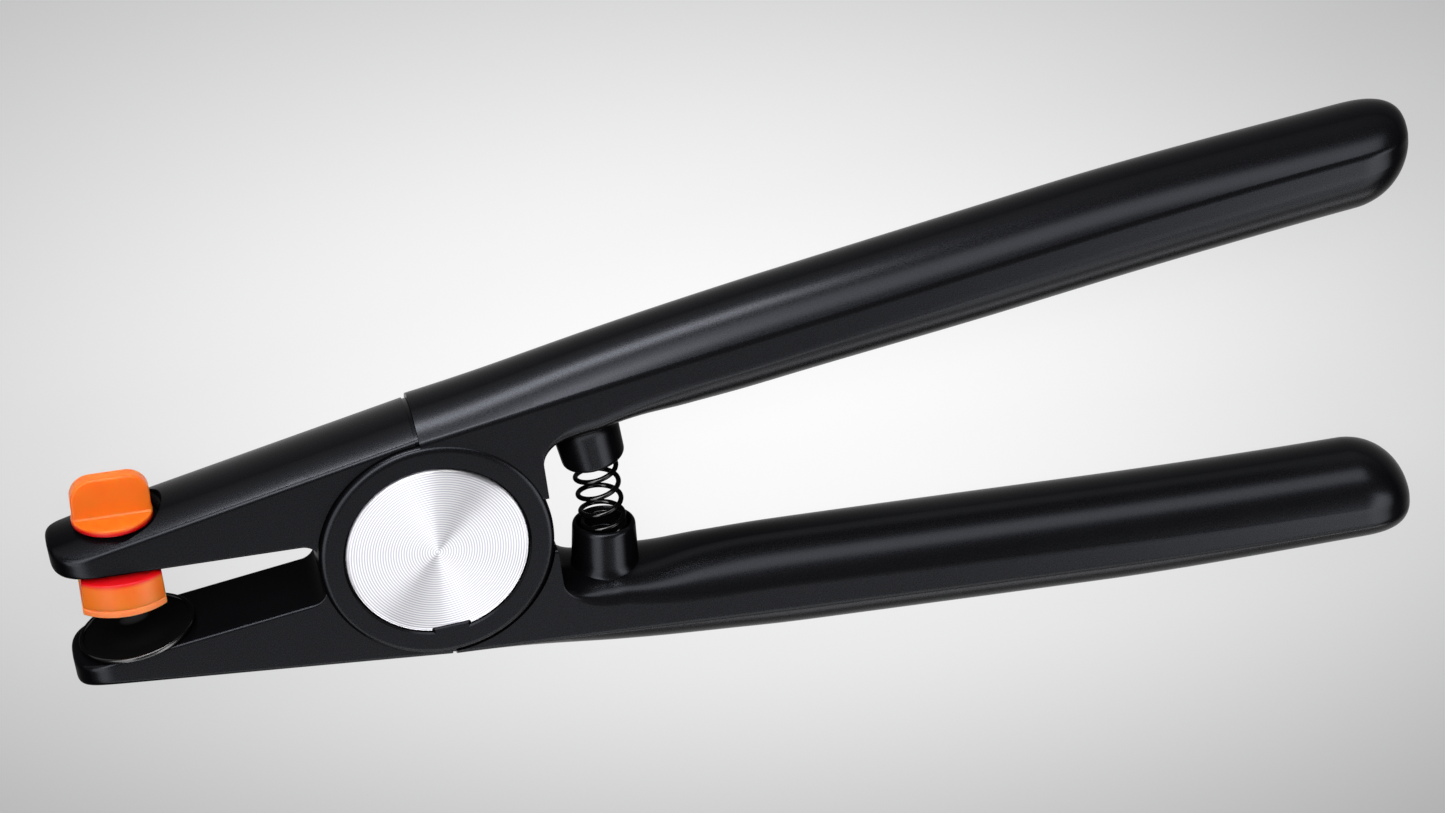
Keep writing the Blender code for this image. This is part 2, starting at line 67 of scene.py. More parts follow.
# %% Camera
camera = bpy.data.objects.new("camera", bpy.data.cameras.new("camera"))
bpy.context.scene.collection.objects.link(camera)
camera.data.sensor_width = 36.0
camera.data.lens = 99.65
camera.data.clip_start = 0.02
camera.matrix_world = Matrix(
    (
        (0.968406, 0.210435, -0.133814, -0.03726),
        (-0.120278, 0.864192, 0.488575, 0.33251),
        (0.218454, -0.457044, 0.862200, 0.57779),
        (0.0, 0.0, 0.0, 1.0),
    )
)
bpy.context.scene.camera = camera
print("camera at", [round(v, 3) for v in camera.matrix_world.translation])

# %% [markdown]
# ## One skin for every shape
# Each piece below is a grid of points: rings along a limb, or a profile turned about an axis. One function
# lays a quad over every cell of such a grid. Rows that shrink to a point or a line meet there, so merging
# doubles closes the skin, and recalculating the normals afterwards makes every face look outwards.

# %% Skin over a grid of points
def skin(name, points, wrap=(False, True), caps=(), chart=None):
    """Mesh over a grid of points in mm, shape (rows, columns, 3): one quad for each cell, closing on itself
    along the directions in wrap, with a flat face on each row in caps. chart gives a UV for every grid line."""
    rows, columns, _ = points.shape
    index = np.arange(rows * columns).reshape(rows, columns)
    i, j = np.meshgrid(np.arange(rows - (not wrap[0])), np.arange(columns - (not wrap[1])), indexing="ij")
    k, m = i + 1, j + 1
    quads = np.stack([index[i, j], index[i, m % columns], index[k % rows, m % columns], index[k % rows, j]], -1)
    faces = quads.reshape(-1, 4).tolist() + [index[row].tolist() for row in caps]
    mesh = bpy.data.meshes.new(name)
    mesh.from_pydata((points.reshape(-1, 3) * MM).tolist(), [], faces)
    if chart is not None:
        corners = np.stack([[i, j], [i, m], [k, m], [k, j]], -1).reshape(2, -1)
        uv = np.stack([chart[0][corners[0]], chart[1][corners[1]]], -1)
        uv = np.concatenate([uv, np.zeros((len(caps) * columns, 2))])
        mesh.uv_layers.new(name="turning").data.foreach_set("uv", uv.astype(np.float32).ravel())
    shell = bmesh.new()
    shell.from_mesh(mesh)
    bmesh.ops.remove_doubles(shell, verts=shell.verts, dist=1e-7)
    bmesh.ops.recalc_face_normals(shell, faces=shell.faces)
    shell.to_mesh(mesh)
    shell.free()
    return mesh


def turned(profile, segments):
    """Lathe: each (radius r, height h) of the profile goes round Z, x = r cos a, y = r sin a, z = h."""
    angle = np.linspace(0.0, 2.0 * np.pi, segments, endpoint=False)[:, None]
    radius, height = np.asarray(profile, float).T
    return np.stack([radius * np.cos(angle), radius * np.sin(angle), height + 0.0 * angle], -1)


def soften(corners, radius, steps=6):
    """A profile with its inner corners rounded: each becomes a quadratic Bezier curve that leaves its two
    sides at the given distance from the corner, or at 45% of a side that is too short for it."""
    p = np.asarray(corners, float)
    here = p[1:-1]
    reach = np.broadcast_to(radius, len(here))[:, None]
    ends = []
    for side in (p[:-2] - here, p[2:] - here):
        length = np.linalg.norm(side, axis=1, keepdims=True)
        ends.append(here + side * np.minimum(reach / length, 0.45))
    t = np.linspace(0.0, 1.0, steps)[None, :, None]
    curve = (1 - t) ** 2 * ends[0][:, None] + 2 * t * (1 - t) * here[:, None] + t**2 * ends[1][:, None]
    return np.concatenate([p[:1], curve.reshape(-1, p.shape[1]), p[-1:]])


def placed(points, origin, axes):
    """Points of a local frame in the tool's frame: origin + x X + y Y + z Z."""
    return points @ np.asarray(axes) + np.asarray(origin)


def bake(name, body, joins=(), cuts=()):
    """Joins and cuts meshes one after another with exact Booleans and keeps the result as one plain mesh."""
    base = bpy.data.objects.new(name, body)
    bpy.context.scene.collection.objects.link(base)
    tools = []
    for mesh, operation in [(m, "UNION") for m in joins] + [(m, "DIFFERENCE") for m in cuts]:
        tool = bpy.data.objects.new("tool", mesh)
        bpy.context.scene.collection.objects.link(tool)
        step = base.modifiers.new(operation, "BOOLEAN")
        step.operation = operation
        step.solver = "EXACT"
        step.object = tool
        tools.append(tool)
    made = bpy.data.meshes.new_from_object(base.evaluated_get(bpy.context.evaluated_depsgraph_get()))
    base.modifiers.clear()
    base.data = made
    for tool in tools:
        bpy.data.objects.remove(tool)
    print(f"{name}: {len(made.vertices)} vertices, {sum(len(p.vertices) - 2 for p in made.polygons)} triangles")
    return base


# %% [markdown]
# ## Levers: the grips
# Each lever is one moulding: a jaw, half of the hub, a grip and a post for the spring. A grip's section is two
# arches joined by short flat sides, and the creases between them are slightly rounded, which gives the thin
# bright line along the tool. A sculpted cube could look alike, but a section carried along X keeps the grip's
# taper, its swell and its blunt end in a few formulas that can be read and changed.

# %% Grip
MID = 9.0
WEB_EDGE, CORNER_END = 19.4, 29.0
CREASE = 0.6


def ease(x, start, end):
    """Smooth step: 0 before start, 1 after end, 3t^2 - 2t^3 between."""
    t = np.clip((x - start) / (end - start), 0.0, 1.0)
    return t * t * (3.0 - 2.0 * t)


def grip_form(x, over):
    """Outer crease, inner crease, half thickness and the rise of both arches at x: straight lines in x that
    bend in towards the end by a square, with rises that grow by smooth steps. The inner crease dips by two bells
    exp(-t^2) at the root. Both grips are a little fuller on the side that over names, as they hang in the hand."""
    bend = 0.0004 * np.maximum(x - 110.0, 0.0) ** 2
    outer = 19.9 + 0.1026 * x - bend
    bells = 0.55 * np.exp(-(((x - 41.0) / 8.0) ** 2)) - 0.6 * np.exp(-(((x - 28.0) / 4.0) ** 2))
    inner = 17.8 + 0.118 * (x - CORNER_END) - bend + bells
    half = (17.2 + 0.8 * ease(x, 20.0, 95.0)) / 2
    outer_rise = 2.8 + 2.95 * ease(x, 0.0, 60.0) - 0.95 * ease(x, 110.0, 165.0)
    swell = np.maximum(x - 38.0, 0.0) / 132.7
    inner_rise = 0.4 + 3.6 * ease(x, 16.5, 27.0) + 2.15 * ease(x, 27.0, 45.0) + 3.0 * swell**0.8
    if over:
        outer_rise += 0.6 * ease(x, 0.0, 28.0) + 0.4 * ease(x, 5.0, 28.0) * (1 - ease(x, 30.0, 50.0))
    else:
        outer_rise += 0.9 * (1 - ease(x, 20.0, 58.0))
        inner_rise += 0.45 * ease(x, 60.0, 100.0)
    return np.stack([outer, inner, half, outer_rise, inner_rise])


def grip_stations(end, over):
    """x and form at every ring: the web beside the hub, its rounded corner (a quarter ellipse), the grip, and
    an end that closes by (1 - u^n)^(1/n), blunter outside than inside."""
    web = np.linspace(0.2, WEB_EDGE, 10)
    web_form = grip_form(web, over)
    web_form[1], web_form[4] = 4.9, 0.02
    turn = np.linspace(0.06, np.pi / 2, 18)
    corner = CORNER_END - (CORNER_END - WEB_EDGE) * np.cos(turn)
    corner_form = grip_form(corner, over)
    corner_form[1] = 10.8 + 6.5 * np.sin(turn)
    closing = end - 10.5
    grip = CORNER_END + (closing - CORNER_END) * np.linspace(0.0, 1.0, 56)[1:] ** 1.25
    u = np.sin(np.linspace(0.0, 1.555, 34)[1:])
    outer, inner, half, outer_rise, inner_rise = grip_form(closing + 10.5 * u, over)
    middle = (outer + inner) / 2
    blunt, soft, side = ((1 - u**n) ** (1 / n) for n in (3.2, 2.0, 2.4))
    outer, inner = middle + (outer - middle) * blunt, middle - (middle - inner) * soft
    end_form = np.stack([outer, inner, half * side, outer_rise * blunt, inner_rise * soft])
    x = np.concatenate([web, corner, grip, closing + 10.5 * u])
    return x, np.concatenate([web_form, corner_form, grip_form(grip, over), end_form], axis=1)


def through(start, corner, end, steps=5):
    """Quadratic Bezier from start by way of corner to end, one for each ring, without its end points."""
    t = np.linspace(0.0, 1.0, steps + 2)[None, 1:-1, None]
    return (1 - t) ** 2 * start[:, None] + 2 * t * (1 - t) * corner[:, None] + t**2 * end[:, None]


def arch_line(half, rise, corner, power=1.0):
    """Arched edge from +half to -half as (rise, offset): a circular arc r (cos a - cos reach), r sin a, stretched
    where it stands taller than half the thickness, made fuller by a power below 1 of its height, and stopped
    short of both creases by the corner's length."""
    low = np.minimum(rise, 0.999 * half)
    reach = 2 * np.arctan2(low, half)
    radius = half / np.sin(reach)
    angle = (reach - corner / radius) * np.linspace(1.0, -1.0, 29)
    height = (np.cos(angle) - np.cos(reach)) / (1 - np.cos(reach))
    return np.stack([rise * height**power, radius * np.sin(angle)], -1)


def grip_rings(end, over):
    """Ring of points at every station: outer arch, flat side, inner arch, flat side, with rounded creases."""
    x, form = grip_stations(end, over)
    outer, inner, half, outer_rise, inner_rise = (row[:, None] for row in form)
    crease = np.minimum(CREASE, 0.28 * np.minimum(half, outer - inner))
    top = arch_line(half, outer_rise, crease) + np.stack([outer, 0 * outer], -1)
    full = 0.5 + 0.5 * ease(x, 30.0, 52.0)[:, None]
    bottom = arch_line(half, inner_rise, crease, full)[:, ::-1] * (-1, 1) + np.stack([inner, 0 * inner], -1)
    high = np.concatenate([outer, half], 1)
    low = np.concatenate([inner, half], 1)
    drop = np.concatenate([crease, 0 * crease], 1)
    back, share = np.array([1.0, -1.0]), np.linspace(0.0, 1.0, 5)[None, :, None]
    side = (high - drop)[:, None] * (1 - share) + (low + drop)[:, None] * share
    ring = [top, through(top[:, -1], high * back, (high - drop) * back), side * back]
    ring += [through((low + drop) * back, low * back, bottom[:, 0]), bottom]
    ring += [through(bottom[:, -1], low, low + drop), side[:, ::-1], through(high - drop, high, top[:, 0])]
    section = np.concatenate(ring, axis=1)
    across = np.broadcast_to(x[:, None], section.shape[:2])
    return np.stack([across, section[..., 0], MID + section[..., 1]], -1)


print("rings and points of a grip:", grip_rings(170.7, False).shape[:2])

# %% [markdown]
# ## Levers: the jaws
# A jaw is a blade: a flat inner face, an arched outer face, and a nose that is a rounded square in plan. Its
# edge rounding has to go round the nose too, so the outline is moved inwards along its own normal before the
# rounding is drawn. The same blade, with other faces, also makes the wing of the thumb knob further down.

# %% Jaw
def blade(axis, width, normal, upper, lower, edges):
    """Closed plate in (axis, across, height): half an outline, mirrored across. Each ring holds both faces,
    upper(axis, across) and lower(axis, across), moved in along the outline's normal by their edge radius, both
    walls, and quadratic Beziers for the edges. Where the width is zero the ring is a line and closes."""
    a, w = axis[:, None], width[:, None]
    na, nw = normal[0][:, None], normal[1][:, None]
    t = np.linspace(1.0, -1.0, 25)
    faces, walls = [], []
    for face, radius, sign in ((upper, edges[0], -1.0), (lower, edges[1], 1.0)):
        r = np.broadcast_to(radius, axis.shape)[:, None]
        inside, reach = a - r * na, np.maximum(w - r * nw, 0.0) * t
        faces.append(np.stack([inside + 0 * reach, reach, face(inside, reach)], -1))
        rim = face(a, w)
        walls.append((np.concatenate([a, w, rim], 1), np.concatenate([a, w, rim + sign * r], 1)))
    mirror, share = np.array([1.0, -1.0, 1.0]), np.linspace(0.0, 1.0, 5)[None, :, None]
    (high, high_wall), (low, low_wall) = walls
    wall = high_wall[:, None] * (1 - share) + low_wall[:, None] * share
    top, bottom = faces[0], faces[1][:, ::-1]
    ring = [top, through(top[:, -1], high * mirror, high_wall * mirror), wall * mirror]
    ring += [through(low_wall * mirror, low * mirror, bottom[:, 0]), bottom]
    ring += [through(bottom[:, -1], low, low_wall), wall[:, ::-1], through(high_wall, high, top[:, 0])]
    return np.concatenate(ring, axis=1)


def jaw_rings():
    """Lower jaw: straight to x = -53.6, then the nose |u|^2.8 + |v|^2.8 = 1, 7.6 long and 8 to each side. The
    inner face is the line y = -3.8 + 0.078 x with a fillet of 2.7 mm at the hub, r - sqrt(r^2 - t^2), and the
    outer one a line with a circular arch of 2.2 mm across it. A tongue, 0.3 mm smaller, runs into the grip, so
    that a fine groove marks the seam."""
    reach = 2 * math.atan2(2.2, 8.0)
    radius = 8.0 / math.sin(reach)
    root = np.concatenate([[0.16, -0.44], np.linspace(-0.45, -18.6, 5)])
    straight = np.concatenate([root, np.linspace(-18.9, -21.7, 15), np.linspace(-24, -53.6, 16)])
    tongue = lambda x: 0.3 * (x > -0.445)
    turn = np.linspace(0.0, np.pi / 2, 40)[1:]
    u, v = np.sin(turn) ** (2 / 2.8), np.maximum(np.cos(turn), 0.0) ** (2 / 2.8)
    v[-1] = 0.0
    along, side = -(u**1.8) / 7.6, v**1.8 / 8.0
    length = np.hypot(along, side)
    axis = np.concatenate([straight, -53.6 - 7.6 * u])
    width = np.concatenate([8.0 - tongue(straight), 8.0 * v])
    normal = [np.concatenate([0 * straight, along / length]), np.concatenate([0 * straight + 1, side / length])]
    nose = ease(-axis, 52.0, 60.0)
    fillet = lambda x: 2.7 - np.sqrt(2.7**2 - np.clip(x + 21.5, 0.0, 2.5) ** 2)
    inner = lambda x, z: -3.8 + 0.078 * x + fillet(x) + 0 * z
    outer = lambda x, z: tongue(x) - 20.3 - 0.152 * x - np.sqrt(radius**2 - z**2) + radius * math.cos(reach)
    rings = blade(axis, width, normal, inner, outer, (0.5 + 0.4 * nose, 0.55 + 0.25 * nose))
    return np.stack([rings[..., 0], rings[..., 2], MID + rings[..., 1]], -1)


print("rings and points of a jaw:", jaw_rings().shape[:2])

# %% [markdown]
# ## Levers: hub, post and cuts
# The hub halves lap at the middle of the thickness, so each lever loses the half that the other one fills, plus
# a little room. The front ring has a sunk seat for the cover disc with a lug that keys its notch, and the post
# a socket for the spring's end. Exact Booleans do this as a machinist would, with one cutter for each cut.

# %% Hub, post and cutters
POST_AXES = [[math.cos(0.10472), math.sin(0.10472), 0], [0, 0, -1], [-math.sin(0.10472), math.cos(0.10472), 0]]


def jaw_frame(side, x):
    """Place and axes on a jaw's inner face at x: along the jaw, across it, and square out of the lower jaw
    (side -1) or into the upper one (side 1)."""
    up = np.array([0.078 * side, 1.0, 0.0]) / math.hypot(0.078, 1.0)
    return [x, side * (3.8 - 0.078 * x), MID], [[up[1], -up[0], 0.0], [0.0, 0.0, -1.0], up]


def cylinder(radius, low, high, segments=96):
    return turned([(0, low), (radius, low), (radius, high), (0, high)], segments)


def disc_outline(grow, count=160):
    """Cover outline: a circle of radius 15 mm with a flat key notch, 6.6 wide and 1.1 deep, at the bottom."""
    radius, half = 15.0 + grow, 3.3 - grow
    edge = math.asin(half / radius)
    angle = np.linspace(edge - np.pi / 2, 1.5 * np.pi - edge, count)
    floor = -13.9 - grow
    return np.concatenate([np.stack([radius * np.cos(angle), radius * np.sin(angle)], -1), [[-half, floor], [half, floor]]])


def stack(outline, levels):
    """Rings of one outline at several levels, each (grow, height)."""
    return np.stack([np.insert(outline(grow), 2, height, axis=1) for grow, height in levels])


def lever(name, end, over, extra):
    """One lever: parts joined, seats cut. over turns the same blank half a turn about the long centre line."""
    turn = (lambda p: p * (1, -1, -1) + (0, 0, 2 * MID)) if over else (lambda p: p)
    hub = soften([(0, 9.15), (19.4, 9.15), (19.4, 18.0), (0, 18.0)], (0.1, 1.3), 12)
    post = soften([(0, 0), (5.25, 0), (5.65, 7.9), (7.0, 9.4), (7.0, 13.0), (0, 13.0)], (0.9, 1.5, 0.3, 0.1), 12)
    lip = soften([(0, -1), (5.5, -1), (4.4, 0.35), (4.4, 3.6), (0, 3.6)], (0.05, 0.5, 0.3), 5)
    spot = [28.6, 6.0, MID]
    joins = [
        skin("grip", turn(grip_rings(end, over)), caps=(0, -1)),
        skin("jaw", turn(jaw_rings()), caps=(0,)),
        skin("post", turn(placed(turned(post, 72), spot, POST_AXES)), (True, False)),
    ]
    seat = [(0.25, 16.75), (0.25, 17.72), (0.5, 18.0), (0.5, 19.0)]
    cuts = [
        skin("lap", turn(cylinder(19.58, -2.0, 9.15, 192)), (True, False)),
        skin("seat", turn(stack(disc_outline, seat)), caps=(0, -1)),
        skin("head", turn(cylinder(8.3, 12.4, 17.0)), (True, False)),
        skin("bore", turn(cylinder(5.85, 8.0, 13.4)), (True, False)),
        skin("thrust", turn(cylinder(12.0, 8.0, 9.8)), (True, False)),
        skin("socket", turn(placed(turned(lip, 72), spot, POST_AXES)), (True, False)),
    ]
    return bake(name, skin("hub", turn(turned(hub, 192)), (True, False)), joins, cuts + extra)


# %% Both levers
pad_place, knob_place = jaw_frame(-1, -50.0), jaw_frame(1, -50.5)
pocket = [(0, -4.7), (2.45, -4.7), (2.45, -1.9), (6.3, -1.9), (6.3, 2.0), (0, 2.0)]
pad_pocket = skin("pocket", placed(turned(pocket, 96), *pad_place), (True, False))
knob_seat = soften([(0, 5.6), (7.4, 5.6), (7.4, 6.3), (8.2, 7.5), (8.2, 13.0), (0, 13.0)], (0.4, 0.3, 0.3, 0.1))
knob_cuts = [
    skin("recess", placed(turned(knob_seat, 128), *knob_place), (True, False)),
    skin("stem", placed(cylinder(3.5, -3.0, 6.6), *knob_place), (True, False)),
]
lower_lever = lever("lower_lever_moulding", 170.7, False, [pad_pocket])
upper_lever = lever("upper_lever_moulding", 168.3, True, knob_cuts)

# %% [markdown]
# ## Cover discs
# The pivot is closed front and back by discs of aluminium that were faced on a lathe, so fine turning lines
# run round the centre. The lines are real grooves here, a few thousandths of a millimetre deep at their true
# pitch, because a polar grid holds them exactly and they glint as the eye moves round the tool.

# %% Cover discs
GROOVE = 0.43


def disc_profile():
    """Half section of a disc: grooves that follow a cosine of the radius, a rolled edge, and a flat back."""
    radius = np.linspace(0.0, 14.19, 33 * 6 + 1)
    face = np.stack([radius, 18.0 - 0.004 * (1 - np.cos(2 * np.pi * radius / GROOVE))], -1)
    edge = soften([(14.19, 18.0), (14.8, 17.94), (15.0, 17.6), (15.0, 17.0), (0.0, 17.0)], (0.3, 0.3, 0.05))
    return np.concatenate([face, edge])


def cover_disc(name, over):
    """The profile turned through a full circle, with the key notch cut from its edge."""
    turn = (lambda p: p * (1, -1, -1) + (0, 0, 2 * MID)) if over else (lambda p: p)
    profile = disc_profile()
    chart = [np.linspace(0.0, 1.0, 193), profile[:, 0] / 15.0]
    body = skin(name, turn(turned(profile, 192)), (True, False), chart=chart)
    notch = soften([(3.3, -15.0), (3.3, -13.9), (-3.3, -13.9), (-3.3, -15.0)], 0.5)
    notch = np.concatenate([[(3.9, -16.0), (3.6, -15.0)], notch[1:-1], [(-3.6, -15.0), (-3.9, -16.0)]])
    rings = np.stack([np.insert(notch, 2, height, axis=1) for height in (16.0, 19.0)])
    return bake(name, body, cuts=[skin("notch", turn(rings), caps=(0, -1))])


front_disc = cover_disc("front_turned_cover", False)
back_disc = cover_disc("back_turned_cover", True)

# %% [markdown]
# ## Return spring
# The spring between the posts is blackened wire: closed end coils that sit in the sockets, open coils between,
# and tails turned in to stop it creeping. A tube along a helix needs a frame that does not twist, and the
# direction away from the spring's own axis gives one at every point.

# %% Return spring
def spring_path():
    """Angle and height along the wire: closed coils rise 1.5 mm a turn, the open ones share the rest, and at
    both ends a quarter circle of 1.1 mm turns the wire straight into its socket."""
    radius, bend, level, turns = 3.5, 1.1, 6.95, 5.6
    turn = np.linspace(0.0, turns, 260)
    knots = (0.0, 0.9, 1.3, turns - 1.3, turns - 0.9, turns)
    pitch = np.interp(turn, knots, (1.5, 1.5, 3.6, 3.6, 1.5, 1.5))
    rise = np.concatenate([[0.0], np.cumsum((pitch[1:] + pitch[:-1]) / 2 * np.diff(turn))])
    rise *= 2 * level / rise[-1]
    slope = math.atan2(1.5, 2 * math.pi * radius)
    a = np.linspace(slope, math.pi / 2, 10)[1:]
    along = bend * (np.sin(a) - math.sin(slope)) / radius
    drop = bend * (math.cos(slope) - np.cos(a))
    along, drop = np.append(along, along[-1]), np.append(drop, drop[-1] + 0.85)
    angle = np.concatenate([-along[::-1], 2 * np.pi * turn, 2 * np.pi * turns + along])
    height = np.concatenate([(-level - drop)[::-1], rise - level, level + drop])
    angle -= math.radians(54)
    return np.stack([radius * np.cos(angle), height, -radius * np.sin(angle)], -1)


def tube(path, radius, sides):
    """Round tube on a path about the Y axis: at each point a circle r (cos b N + sin b B), with N pointing away
    from the axis, made square to the path's direction T, and B = T x N."""
    along = np.gradient(path, axis=0)
    along /= np.linalg.norm(along, axis=1, keepdims=True)
    away = path * (1, 0, 1)
    away -= (away * along).sum(1, keepdims=True) * along
    away /= np.linalg.norm(away, axis=1, keepdims=True)
    other = np.cross(along, away)
    b = np.linspace(0.0, 2 * np.pi, sides, endpoint=False)[None, :, None]
    return path[:, None] + radius * (np.cos(b) * away[:, None] + np.sin(b) * other[:, None])


wire_path = spring_path()
wire_length = np.linalg.norm(np.diff(wire_path, axis=0), axis=1).sum()
chart = [np.linspace(0.0, wire_length / 3.0, len(wire_path)), np.linspace(0.0, 1.0, 15)]
wire_rings = tube(wire_path, 0.425, 14) + (28.54, 0.0, MID)
spring = bpy.data.objects.new("coiled_return_spring", skin("spring", wire_rings, caps=(0, -1), chart=chart))
bpy.context.scene.collection.objects.link(spring)
print(f"spring wire {wire_length:.0f} mm long")

# %% [markdown]
# ## Rubber pad
# The pad that backs the glass is a shallow rubber cup with a thin flared lip, pushed into the lower jaw by a
# plug. It is one half section turned about its own axis, with every corner rounded, as moulded rubber always is.

# %% Rubber pad
bowl = np.linspace(8.9, 0.0, 48)
dish = np.stack([bowl, 0.7 - 0.45 * (1 - (bowl / 8.9) ** 2) - 0.4 * np.maximum(1 - (bowl / 6.4) ** 2, 0) ** 2], -1)
under = [(0, -4.4), (2.2, -4.4), (2.2, -1.65), (6.0, -1.65), (6.0, 0.06), (7.0, 0.1), (9.2, 0.2), (9.74, 0.24)]
bead = [(9.74, 1.04), (9.0, 1.04), (8.9, 0.7)]
rim = soften([*under, *bead], (0.3, 0.3, 0.2, 0.1, 0.4, 0.3, 0.3, 0.4, 0.3), 10)
pad_grid = placed(turned(np.concatenate([rim, dish[1:]]), 128), *pad_place)
pad = bpy.data.objects.new("dished_rubber_pad", skin("pad", pad_grid, (True, False)))
bpy.context.scene.collection.objects.link(pad)
print("pad rim 19.4 mm across, standing 0.8 mm off the jaw")

# %% [markdown]
# ## Breaker head
# The orange head turns in the upper jaw: a thumb knob with a flat wing above, and below a pressing foot with a
# softer facing. The wing is a blade like the jaw, thin at the top and flared into the disc at its root, and
# the foot is a stack of outlines, a disc with two straight sides, that draws in at its rounded edges.

# %% Thumb knob
def wing_rings():
    """Wing: straight sides up to 10.7, quarter circles of 3.6 mm, a level top at 14.3. Half the thickness goes
    from 1.8 at the root to 1.35 at the top, plus a cove of 0.45 mm where it meets the disc."""
    straight = np.concatenate([[6.9, 7.5], np.linspace(7.6, 8.2, 9), np.linspace(8.5, 10.7, 8)])
    phi = np.linspace(0.0, np.pi / 2, 24)[1:]
    level = np.linspace(2.8, 0.0, 10)[1:]
    axis = np.concatenate([straight, 10.7 + 3.6 * np.sin(phi), 0 * level + 14.3])
    width = np.concatenate([0 * straight + 6.4, 2.8 + 3.6 * np.cos(phi), level])
    normal = [np.concatenate([0 * straight, np.sin(phi), 0 * level + 1])]
    normal.append(np.concatenate([0 * straight + 1, np.cos(phi), 0 * level]))
    cove = lambda h: 0.45 * (1 - np.sqrt(np.clip(1 - (np.clip(8.1 - h, 0, 0.5) / 0.5) ** 2, 0, 1)))
    face = lambda h, x: 1.8 - 0.45 * (h - 7.0) / 7.3 + cove(h) + 0 * x
    return blade(axis, width, normal, face, lambda h, x: -face(h, x), (0.5, 0.5))


wing = wing_rings()
wing = np.stack([wing[..., 1], wing[..., 2], wing[..., 0]], -1)
knob_profile = [(0, 4.6), (2.55, 4.6), (2.55, -2.7), (3.2, -2.7), (3.2, 6.4), (6.6, 6.4), (6.6, 7.6), (0, 7.6)]
knob_profile = soften(knob_profile, (0.1, 0.05, 0.1, 0.15, 0.3, 0.35))
knob_body = skin("knob", placed(turned(knob_profile, 128), *knob_place), (True, False))
knob = bake("winged_thumb_knob", knob_body, [skin("wing", placed(wing, *knob_place), caps=(0,))])


# %% Pressing foot and facing
def foot_outline(grow):
    """Circle of radius 9.6 with its sides cut straight at 6.5 mm from the middle."""
    half, radius = 6.5 + grow, 9.6 + grow
    edge = math.acos(half / radius)
    angle = np.linspace(edge, np.pi - edge, 48)
    angle = np.concatenate([angle, angle + np.pi])
    return np.stack([radius * np.cos(angle), radius * np.sin(angle)], -1)


screw_way = [(0, -8.0), (3.1, -8.0), (3.1, -4.85), (1.65, -4.85), (1.65, -1.8), (0, -1.8)]
screw_way = placed(turned(screw_way, 64), *knob_place)
stem_socket = placed(cylinder(3.45, -3.0, 1.0), *knob_place)
foot_levels = soften([(-0.8, -0.8), (0.0, -0.8), (0.0, -5.47), (-0.8, -5.47)], (0.3, 0.1))
facing_levels = soften([(-0.8, -5.5), (0.25, -5.5), (0.25, -6.75), (-0.8, -6.75)], (0.2, 0.5))
foot_cuts = [skin("socket", stem_socket, (True, False)), skin("way", screw_way, (True, False))]
foot_body = skin("foot", placed(stack(foot_outline, foot_levels), *knob_place), caps=(0, -1))
facing_body = skin("facing", placed(stack(foot_outline, facing_levels), *knob_place), caps=(0, -1))
foot = bake("pressing_foot", foot_body, cuts=foot_cuts)
facing = bake("soft_foot_facing", facing_body, cuts=[skin("way", screw_way, (True, False))])

# %% [markdown]
# ## Materials
# Every finish below is a small node tree on Object coordinates, in metres, so a pattern's scale is one over its
# real size. One function adds a node with its settings and links, and another turns the sRGB codes that a
# colour picker shows into the linear values that light is added up in.

# %% Node and colour helpers
def tone(code):
    """sRGB hex to linear: c / 12.92 below 0.04045, else ((c + 0.055) / 1.055)^2.4, with an alpha of 1."""
    c = np.array([int(code[i : i + 2], 16) for i in (1, 3, 5)]) / 255
    return (*np.where(c <= 0.04045, c / 12.92, ((c + 0.055) / 1.055) ** 2.4).tolist(), 1.0)


def add(tree, kind, inputs=None, **settings):
    """A node with its own settings, and values or other nodes' outputs on its sockets."""
    made = tree.nodes.new("ShaderNode" + kind)
    for option, value in settings.items():
        setattr(made, option, value)
    for socket, value in (inputs or {}).items():
        if isinstance(value, bpy.types.NodeSocket):
            tree.links.new(value, made.inputs[socket])
        else:
            made.inputs[socket].default_value = value
    return made


def material(name):
    made = bpy.data.materials.new(name)
    made.use_nodes = True
    made.node_tree.nodes.clear()
    return made, made.node_tree


# %% [markdown]
# ### Satin black nylon
# Levers like these are moulded in black nylon filled with glass fibre. The mould is lightly etched, which
# gives a fine even grain and a satin gloss: broad soft highlights with no mirror image in them.

